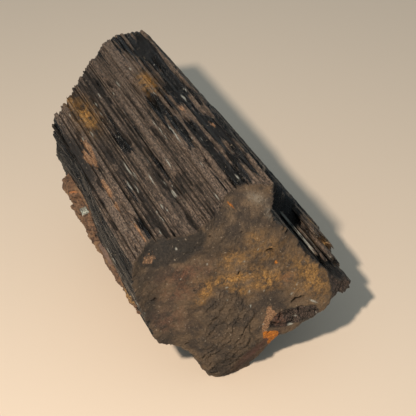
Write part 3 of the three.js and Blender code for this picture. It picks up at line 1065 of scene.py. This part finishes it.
def coat(tree, found, base, coats):
    """Lays tones over a base colour, each as strong as told where it lies."""
    colour = linear(base) if isinstance(base, str) else base
    for name, low, high, strength, tone in coats:
        where = add(tree, "MapRange", [found[name], low, high, 0.0, strength], **EASED)
        over = linear(tone) if isinstance(tone, str) else tone
        colour = add(tree, "MixRGB", [where, colour, over])
    return colour


def new_material(name):
    material = bpy.data.materials.new(name)
    material.use_nodes = True
    tree = material.node_tree
    return material, tree, tree.nodes["Principled BSDF"]


print("a coat starts and ends softly:", EASED["interpolation_type"].lower())

# %% [markdown]
# ## Schorl: black ribs, brown dust, rusty fracture
# Clean schorl is black and glassy, IOR about 1.64, with a vitreous shine along the rib
# crests. Clay and iron dust make the ribs matt and brown. The fracture carries a thin
# weathering film: grey-brown, with ochre goethite, orange limonite and some haematite red.
# Some light is painted into the colour as well: pale glints along crests and striae, and
# shade in the grooves, pits and low places.

# %% Schorl
# Real striae go on to be finer than can show. They are drawn 0.2 mm wide, as coarse as needed.
SCHORL_PATTERNS = {  # size along the ribs and across them in mm, octaves, roughness
    "streak": (3.0, 0.42, 5, 0.65),        # fine lines along the striae, broken along their length; pale ones are painted glints
    "stria": (0.57, 0.2, 4, 0.7),          # fine growth lines, chipped along their length
    "line": (2.75, 0.22, 3, 0.55),         # the same lines in relief
    "clay": (0.385, 0.385, 6, 0.7),        # clay and iron dust
    "film grain": (0.435, 0.435, 7, 0.75),
    "sand": (0.22, 0.22, 4, 0.7),
    "cloud": (3.6, 3.6, 4, 0.55),          # thicker and thinner weathering film
    "stain": (0.33, 0.33, 5, 0.7),         # grain of the iron oxides
    "speck": (0.59, 0.59, 4, 0.65),        # crumbs of oxide
    "patch": (1.25, 1.25, 5, 0.65),        # breaks in a stain
    "mica": (0.475, 0.475, 2, 0.5),        # lone pale specks, painted highlights
    "scale": (0.24, 0.24, 5, 0.75),        # roughness of the film in relief
}


def rib_colour(tree, found):
    # The pale stria lines, on the clean black and in the dust, are painted glints along the striae.
    clean = coat(tree, found, "#070707", [
        ("streak", 0.4, 0.7, 1.0, "#131210"),
        ("stria", 0.6, 0.72, 0.5, "#5C534A"),
    ])
    brown = coat(tree, found, "#463C34", [
        ("clay", 0.34, 0.66, 1.0, "#8F7B6A"),
        ("stria", 0.52, 0.38, 0.9, "#16120F"),
        ("stria", 0.6, 0.7, 0.7, "#A89480"),
    ])
    cover = add(tree, "Math", [found["streak"], 1.2, -0.62], operation="MULTIPLY_ADD")
    cover = add(tree, "Math", [found["dust"], cover], operation="ADD")
    cover = add(tree, "MapRange", [cover, 0.25, 0.7], **EASED)
    colour = add(tree, "MixRGB", [cover, clean, brown])
    # Painted shade: grooves between ribs, and low places on the blades and far end, go nearly black.
    painted_groove_shade = add(tree, "Math", [found["groove"], 0.88], **PRODUCT)
    return add(tree, "MixRGB", [painted_groove_shade, colour, linear("#0B0A09")]), cover


def film_colour(tree, found):
    film = coat(tree, found, "#40372F", [
        ("cloud", 0.38, 0.62, 1.0, "#6C5A46"),
        ("film grain", 0.53, 0.7, 0.6, "#96836D"),
        ("film grain", 0.46, 0.32, 0.8, "#1E1916"),
        ("sand", 0.46, 0.34, 0.6, "#211C18"),
    ])
    dusky = coat(tree, found, "#191919", [("film grain", 0.36, 0.64, 1.0, "#38342F")])
    film = add(tree, "MixRGB", [found["dark"], film, dusky])
    crumbly = coat(tree, found, "#0A0908", [("sand", 0.42, 0.64, 1.0, "#6B5A50")])
    return coat(tree, found, film, [("dark", 1.0, 1.4, 1.0, crumbly)])


def oxide_stains(tree, found, colour):
    """Ochre goethite, haematite red and the plum film, each broken up by its own grain."""
    broken = add(tree, "MapRange", [found["patch"], 0.34, 0.6], **EASED)
    ochre = add(tree, "Math", [found["ochre"], broken], **PRODUCT)
    red = add(tree, "Math", [found["red"], broken], **PRODUCT)
    stains = [  # where, strength, darkest and lightest tone
        (ochre, 1.0, "#7A5828", "#CC9C58"),
        (red, 0.8, "#5E3D2F", "#9C6E54"),
        (found["plum"], 0.85, "#4A2C27", "#7A4F47"),
    ]
    for where, strength, dark_tone, light_tone in stains:
        tone = coat(tree, found, dark_tone, [("stain", 0.35, 0.65, 1.0, light_tone)])
        share = add(tree, "Math", [where, strength], **PRODUCT)
        colour = add(tree, "MixRGB", [share, colour, tone])
    return colour, ochre


def crumbs_scales_and_painted_light(tree, found, colour):
    """Tan clay, orange limonite, pale highlight specks, pale scales with painted glints, and painted
    shade in the pits.
    """
    speckle = add(tree, "Math", [found["speck"], 1.6, -0.8], operation="MULTIPLY_ADD", use_clamp=True)
    tan = add(tree, "Math", [found["tan"], speckle], operation="ADD")
    tan = add(tree, "MapRange", [tan, 0.3, 0.6], **EASED)
    tan_edge = add(tree, "MapRange", [found["tan"], 0.08, 0.3], **EASED)
    tan = add(tree, "Math", [tan, tan_edge], **PRODUCT)
    tan_tone = coat(tree, found, "#6B4E38", [("stain", 0.36, 0.66, 1.0, "#BC9470")])
    colour = add(tree, "MixRGB", [tan, colour, tan_tone])

    crumbs = add(tree, "MapRange", [found["speck"], 0.3, 0.5], **EASED)
    crumbs = add(tree, "Math", [crumbs, 0.35], operation="ADD", use_clamp=True)
    found["rust crumbs"] = add(tree, "Math", [found["rust"], crumbs], **PRODUCT)
    rust_tone = coat(tree, found, "#A0560E", [("stain", 0.38, 0.62, 1.0, "#E4902A")])
    scaly = add(tree, "MapRange", [found["stain"], 0.25, 0.5], **EASED)
    found["pale scales and glints"] = add(tree, "Math", [found["pale"], scaly], **PRODUCT)
    # Painted shade: pits and cavities on the fracture are darkened nearly to black.
    found["pit"] = add(tree, "Math", [found["groove"], found["fracture"]], **PRODUCT)
    # The lone pale specks are painted highlights; the pale coat is pale scales on the fracture and
    # painted glints on the ribs.
    colour = coat(tree, found, colour, [
        ("rust crumbs", 0.3, 0.5, 1.0, rust_tone),
        ("mica", 0.685, 0.72, 0.6, "#A39684"),
        ("pale scales and glints", 0.15, 0.6, 0.85, "#A9AAA0"),
    ])
    return add(tree, "MixRGB", [found["pit"], colour, linear("#080707")])


def make_schorl():
    material, tree, shader = new_material("schorl, natural ribs and iron-stained fracture")
    found = find(tree, SCHORL_PATTERNS, MARKS)
    ribs, cover = rib_colour(tree, found)
    colour = add(tree, "MixRGB", [found["fracture"], ribs, film_colour(tree, found)])
    colour, ochre = oxide_stains(tree, found, colour)
    colour = crumbs_scales_and_painted_light(tree, found, colour)
    tree.links.new(colour.outputs[0], shader.inputs["Base Color"])

    covered = add(tree, "Math", [cover, 0.8], **PRODUCT)
    for other in (found["fracture"], ochre):
        covered = add(tree, "Math", [covered, other], **GREATER)
    rough = add(tree, "MapRange", {"Value": covered, "To Min": 0.27, "To Max": 0.75})
    tree.links.new(rough.outputs[0], shader.inputs["Roughness"])
    shader.inputs["IOR"].default_value = 1.64
    shader.inputs["Specular IOR Level"].default_value = 0.32

    height = add(tree, "Math", [found["line"], 0.7, found["scale"]], operation="MULTIPLY_ADD")
    bump = add(tree, "Bump", {"Height": height, "Strength": 1.0, "Distance": 0.3 * MM})
    tree.links.new(bump.outputs[0], shader.inputs["Normal"])
    print(material.name, len(tree.nodes), "nodes")
    return material


schorl = make_schorl()
for obj in [crystal] + blades:
    obj.data.materials.append(schorl)

# %% [markdown]
# ## Mother rock: rusty mica and feldspar
# Brown iron-stained grains 0.3 to 1 mm across, with a smooth tan feldspar face, a clump of
# gold-brown mica, a few grey-white crystals and some orange iron oxide. All of it is matt.
# Its low grains and two hollows are painted darker, as shade.

# %% Mother rock
ROCK_PATTERNS = {  # as for the schorl
    "grain": (0.59, 0.59, 6, 0.75),
    "fine": (0.28, 0.28, 4, 0.7),
    "patch": (2.0, 2.0, 3, 0.55),
    "feldspar": (1.1, 1.1, 5, 0.55),
    "crumb": (0.25, 0.25, 5, 0.7),
}
ROCK_MARKS = tuple(CRUST_MARKS) + ("relief",)


def make_rock():
    material, tree, shader = new_material("mica and feldspar rock, rusty broken surface")
    found = find(tree, ROCK_PATTERNS, ROCK_MARKS)
    feldspar = coat(tree, found, "#65524A", [("feldspar", 0.35, 0.65, 1.0, "#806A5B")])
    mica = coat(tree, found, "#3E2A1C", [("fine", 0.42, 0.62, 1.0, "#C59E66")])
    white = coat(tree, found, "#5E645C", [("fine", 0.4, 0.6, 1.0, "#C4C8BC")])
    grains = add(tree, "MapRange", [found["grain"], 0.3, 0.5], **EASED)
    found["oxide"] = add(tree, "Math", [found["orange"], grains], **PRODUCT)
    colour = coat(tree, found, "#30221A", [
        ("grain", 0.38, 0.6, 1.0, "#775A43"),
        ("patch", 0.52, 0.66, 1.0, "#84694F"),
        ("fine", 0.6, 0.7, 0.7, "#C2A583"),
        ("smooth", 0.3, 0.5, 1.0, feldspar),
        ("gold", 0.25, 0.6, 1.0, mica),
        ("oxide", 0.3, 0.6, 1.0, "#A06A40"),
        ("white", 0.4, 0.6, 1.0, white),
        # Painted shade: the low places of the grain and the two hollows are darkened.
        ("relief", -0.05, -0.7, 0.8, "#1E1713"),
        ("hollow", 0.35, 0.7, 1.0, "#171210"),
    ])
    tree.links.new(colour.outputs[0], shader.inputs["Base Color"])
    shader.inputs["Roughness"].default_value = 0.8
    shader.inputs["IOR"].default_value = 1.55
    bump = add(tree, "Bump", {"Height": found["crumb"], "Strength": 0.7, "Distance": 0.2 * MM})
    tree.links.new(bump.outputs[0], shader.inputs["Normal"])
    print(material.name, len(tree.nodes), "nodes")
    return material


crust.data.materials.append(make_rock())

# %% Finish
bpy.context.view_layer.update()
for label, box in (("part", cad_box), ("model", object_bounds())):
    print(label, [[round(v * 1000, 1) for v in corner] for corner in box])
